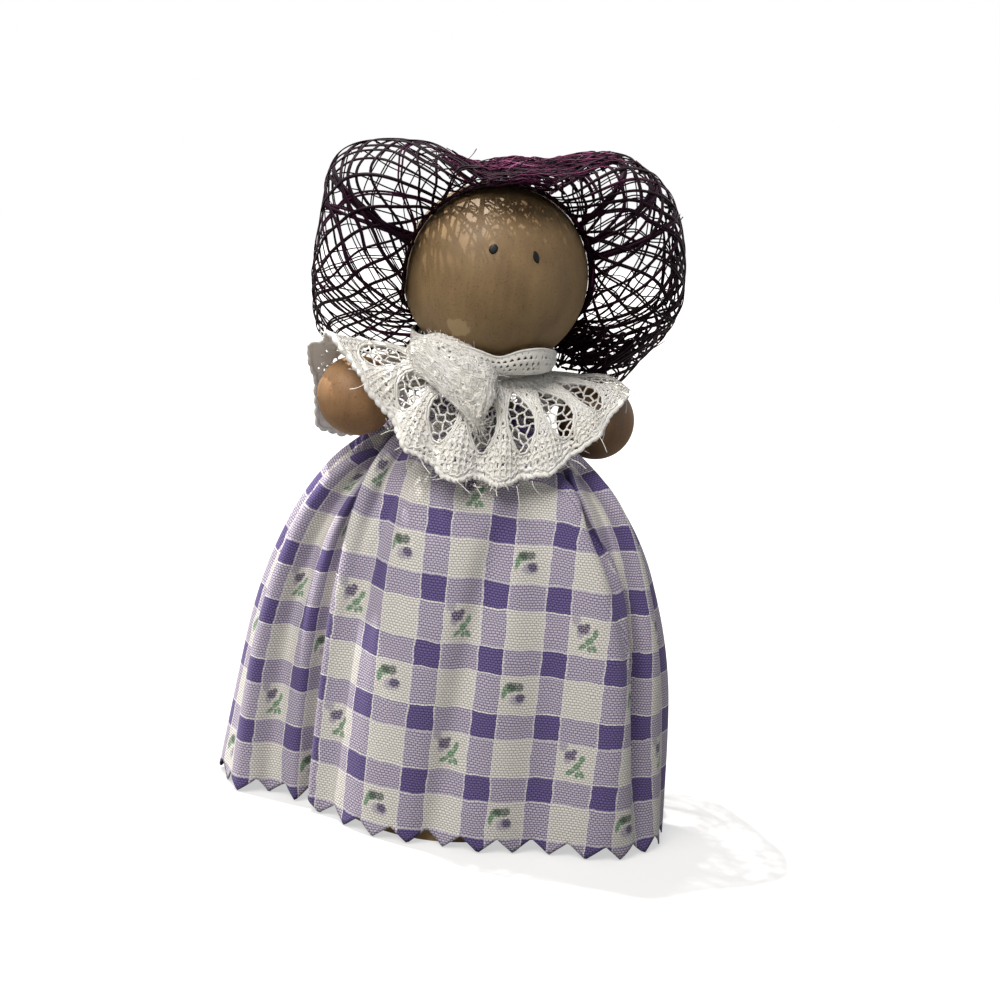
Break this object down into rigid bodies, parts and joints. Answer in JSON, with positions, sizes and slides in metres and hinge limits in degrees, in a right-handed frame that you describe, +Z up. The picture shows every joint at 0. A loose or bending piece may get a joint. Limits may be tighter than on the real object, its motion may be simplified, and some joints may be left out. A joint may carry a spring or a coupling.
{
  "type": "peg doll",
  "caption": "Round wooden peg doll with a ball head, bead hands that swing and turn on one arm wire, a gathered gingham skirt, a lace collar and an open woven straw bonnet, on a stand ring.",
  "frame": {"origin": "centre of the stand ring's flat underside, on the floor", "axes": "+Z up through the peg and the head; the doll faces -Y; its own right hand is on -X and its left hand on +X"},
  "size_m": [0.0743, 0.0532, 0.1119],
  "materials": {
    "peg_wood": "sanded beech, bare",
    "head_wood": "stained and waxed, slightly worn",
    "bead_wood": "waxed, warm orange-tan",
    "eye_paint": "brushed black paint",
    "wire": "drawn, dull",
    "gingham": "plain-weave cotton, violet and white gingham with small sprigs",
    "purple_thread": "sewing thread",
    "lace": "cotton lace, off-white",
    "straw": "dyed open-weave straw mesh, slightly shiny"
  },
  "bodies": {
    "doll": {"stand_ring": "peg_wood", "peg": "peg_wood", "head": "head_wood", "right_eye": "eye_paint", "left_eye": "eye_paint", "skirt": "gingham", "skirt_tie": "purple_thread", "lace_collar": "lace", "collar_tie": "lace", "bonnet": "straw", "bonnet_tie": "purple_thread"},
    "arms": {"arm_wire": "wire"},
    "right_hand": {"right_hand": "bead_wood"},
    "left_hand": {"left_hand": "bead_wood"}
  },
  "joints": [
    {"name": "arm_swing", "type": "hinge", "parent": "doll", "child": "arms", "pos_m": [0, 0, 0.07349], "axis": [1, 0, 0], "range_deg": [-15, 15]},
    {"name": "right_hand_turn", "type": "hinge", "parent": "arms", "child": "right_hand", "pos_m": [-0.0065, 0, 0.07349], "axis": [-0.962, 0, -0.2729], "continuous": true},
    {"name": "left_hand_turn", "type": "hinge", "parent": "arms", "child": "left_hand", "pos_m": [0.0065, 0, 0.07349], "axis": [0.9285, 0, -0.3714], "continuous": true}
  ]
}
